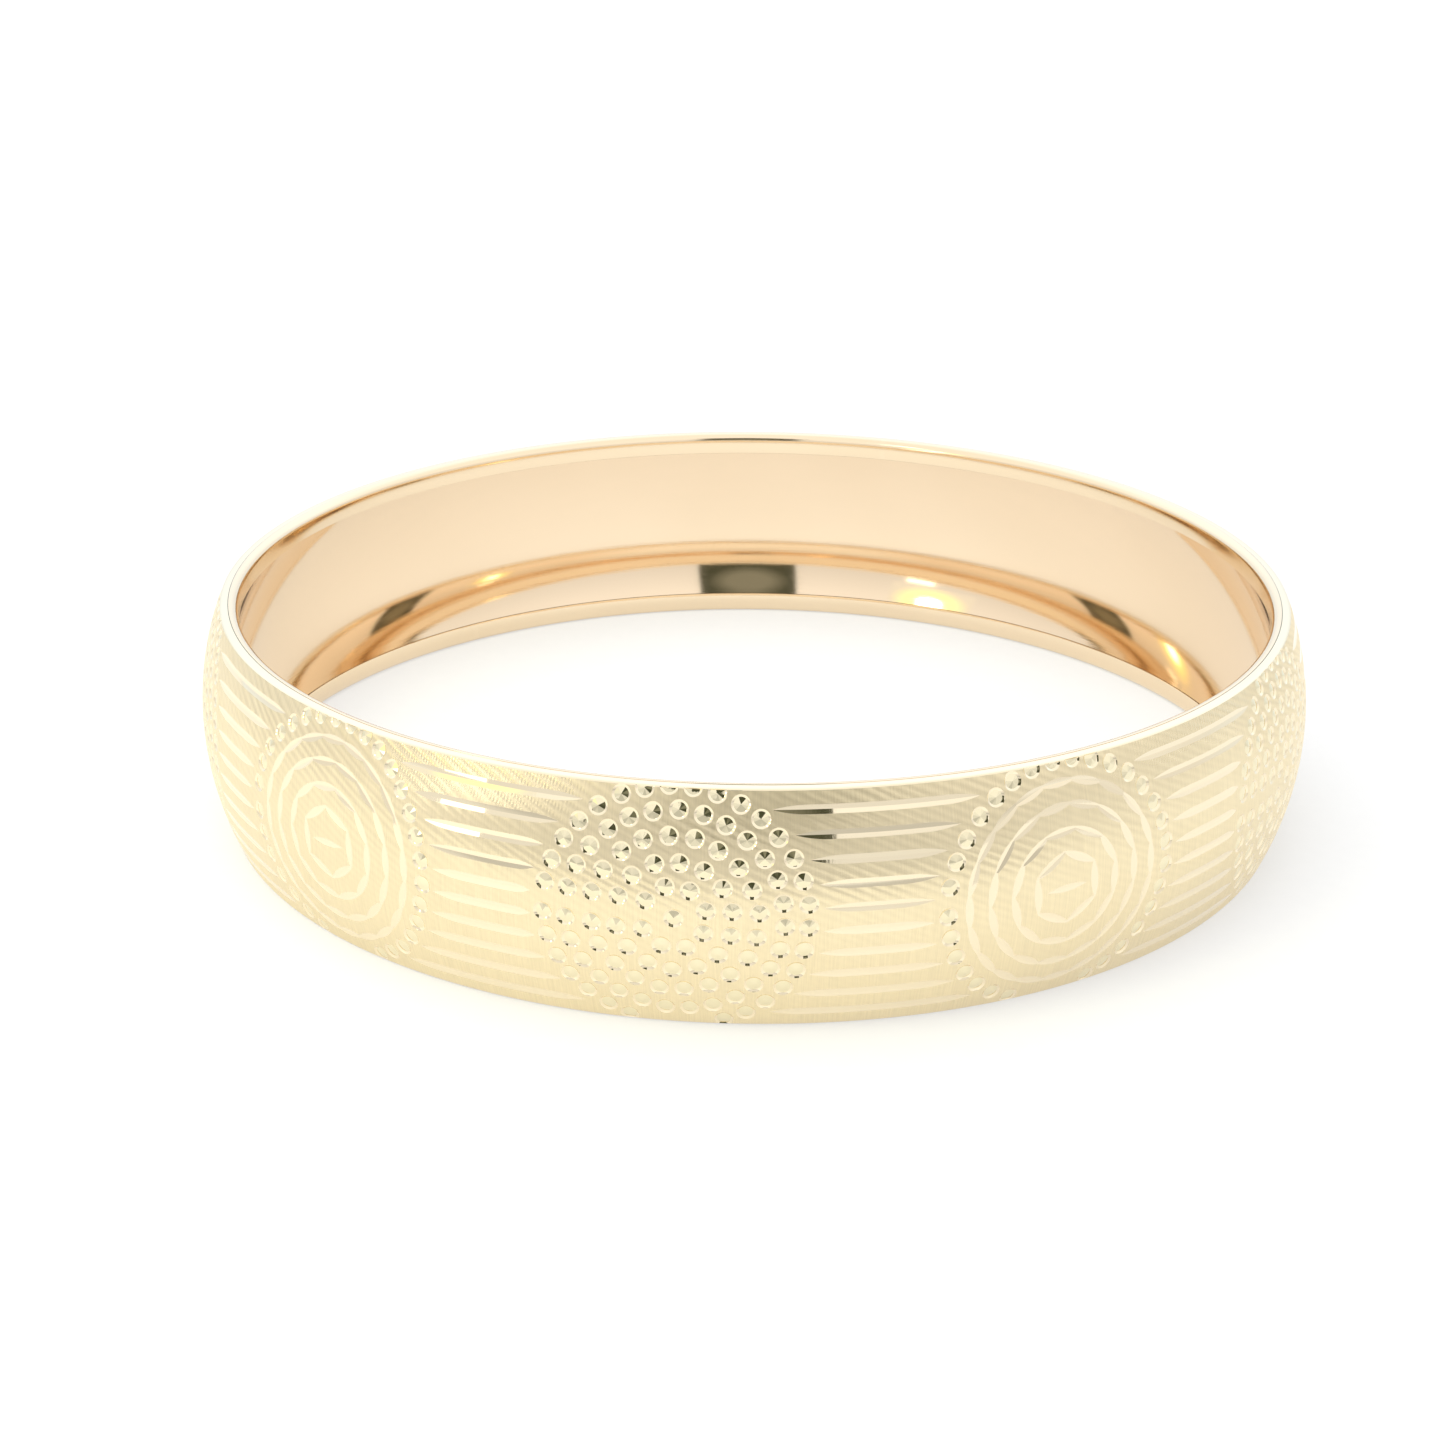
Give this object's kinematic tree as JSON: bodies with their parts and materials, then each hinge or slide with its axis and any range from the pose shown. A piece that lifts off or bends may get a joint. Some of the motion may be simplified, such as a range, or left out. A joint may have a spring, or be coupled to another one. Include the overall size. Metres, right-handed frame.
{
  "type": "bangle bracelet",
  "caption": "Closed round slip-on bangle: a domed outer band over a concave polished lining, with a rounded lip wire along each edge.",
  "frame": {"origin": "centre of the circle that the bangle lies on, on the lower edge's resting face", "axes": "+Z along the axis that the hand passes through, towards the top edge; +X and +Y across the opening, with the ring's closing joints at different angles around +Z"},
  "size_m": [0.0684, 0.0684, 0.0137],
  "materials": {
    "satin_gold": "gold-coloured metal with a fine satin texture, under bright mirror-like diamond cuts",
    "polished_gold": "mirror-polished gold-coloured metal, a little paler and pinker than the outer band",
    "gold_solder": "pale gold solder, filed flush and polished with the strip that it closes"
  },
  "bodies": {
    "root": {"outer_band": "satin_gold", "outer_band_solder_joint": "gold_solder", "inner_lining": "polished_gold", "inner_lining_solder_joint": "gold_solder", "top_lip_wire": "polished_gold", "top_lip_wire_solder_joint": "gold_solder", "bottom_lip_wire": "polished_gold", "bottom_lip_wire_solder_joint": "gold_solder"}
  },
  "joints": []
}
